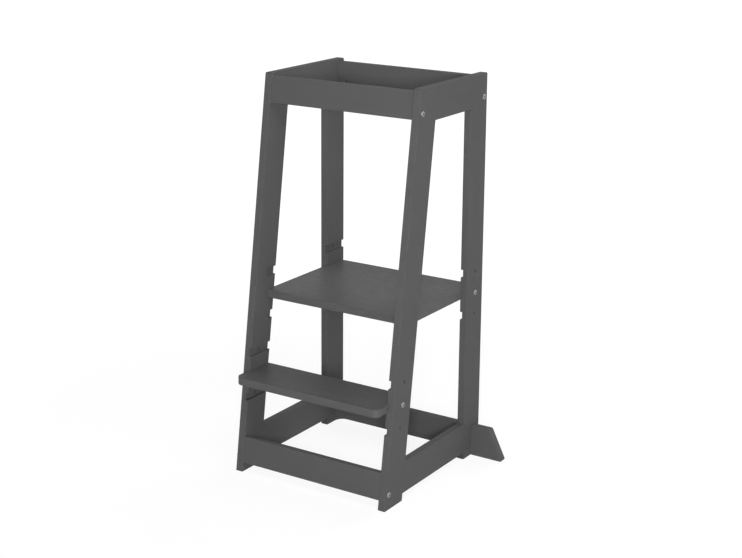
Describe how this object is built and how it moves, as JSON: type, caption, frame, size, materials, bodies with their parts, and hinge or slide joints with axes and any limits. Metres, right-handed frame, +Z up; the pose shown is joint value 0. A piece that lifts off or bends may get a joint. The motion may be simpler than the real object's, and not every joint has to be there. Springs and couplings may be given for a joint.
{
  "type": "toddler kitchen helper stool",
  "caption": "Tall step stool with a railed standing platform, leaning front legs, a lower step and anti-tip wings at the rear; both boards move between rows of grooves.",
  "frame": {"origin": "middle of the footprint's bounding box, on the floor", "axes": "+Z up, the front with the step faces -Y, +X is the right-hand side as the picture shows it"},
  "size_m": [0.5652, 0.4254, 0.9],
  "materials": {
    "painted_wood": "matte dark grey paint over smooth boards",
    "bare_wood": "bare beech",
    "zinc_steel": "zinc plated, satin"
  },
  "bodies": {
    "frame": {"left_front_leg": "painted_wood", "right_front_leg": "painted_wood", "left_rear_leg": "painted_wood", "right_rear_leg": "painted_wood", "left_side_top_rail": "painted_wood", "right_side_top_rail": "painted_wood", "left_side_bottom_rail": "painted_wood", "right_side_bottom_rail": "painted_wood", "front_top_rail": "painted_wood", "rear_top_rail": "painted_wood", "front_bottom_rail": "painted_wood", "rear_stabiliser": "painted_wood", "platform_board": "painted_wood", "step_board": "painted_wood", "left_frame_dowels": "bare_wood", "right_frame_dowels": "bare_wood", "front_top_rail_dowels": "bare_wood", "rear_top_rail_dowels": "bare_wood", "front_bottom_rail_dowels": "bare_wood", "front_top_rail_bolts": "zinc_steel", "rear_top_rail_bolts": "zinc_steel", "front_bottom_rail_bolts": "zinc_steel", "front_top_rail_barrel_nuts": "zinc_steel", "rear_top_rail_barrel_nuts": "zinc_steel", "front_bottom_rail_barrel_nuts": "zinc_steel", "platform_barrel_nuts": "zinc_steel", "step_barrel_nuts": "zinc_steel", "stabiliser_screws": "zinc_steel"},
    "left_platform_bolt": {"left_platform_bolt": "zinc_steel"},
    "right_platform_bolt": {"right_platform_bolt": "zinc_steel"},
    "left_step_bolt": {"left_step_bolt": "zinc_steel"},
    "right_step_bolt": {"right_step_bolt": "zinc_steel"}
  },
  "joints": [
    {"name": "left_platform_bolt_draw", "type": "slide", "parent": "frame", "child": "left_platform_bolt", "axis": [-1, 0, 0], "range_m": [0, 0.041]},
    {"name": "right_platform_bolt_draw", "type": "slide", "parent": "frame", "child": "right_platform_bolt", "axis": [1, 0, 0], "range_m": [0, 0.041]},
    {"name": "left_step_bolt_draw", "type": "slide", "parent": "frame", "child": "left_step_bolt", "axis": [-1, 0, 0], "range_m": [0, 0.041]},
    {"name": "right_step_bolt_draw", "type": "slide", "parent": "frame", "child": "right_step_bolt", "axis": [1, 0, 0], "range_m": [0, 0.041]}
  ]
}
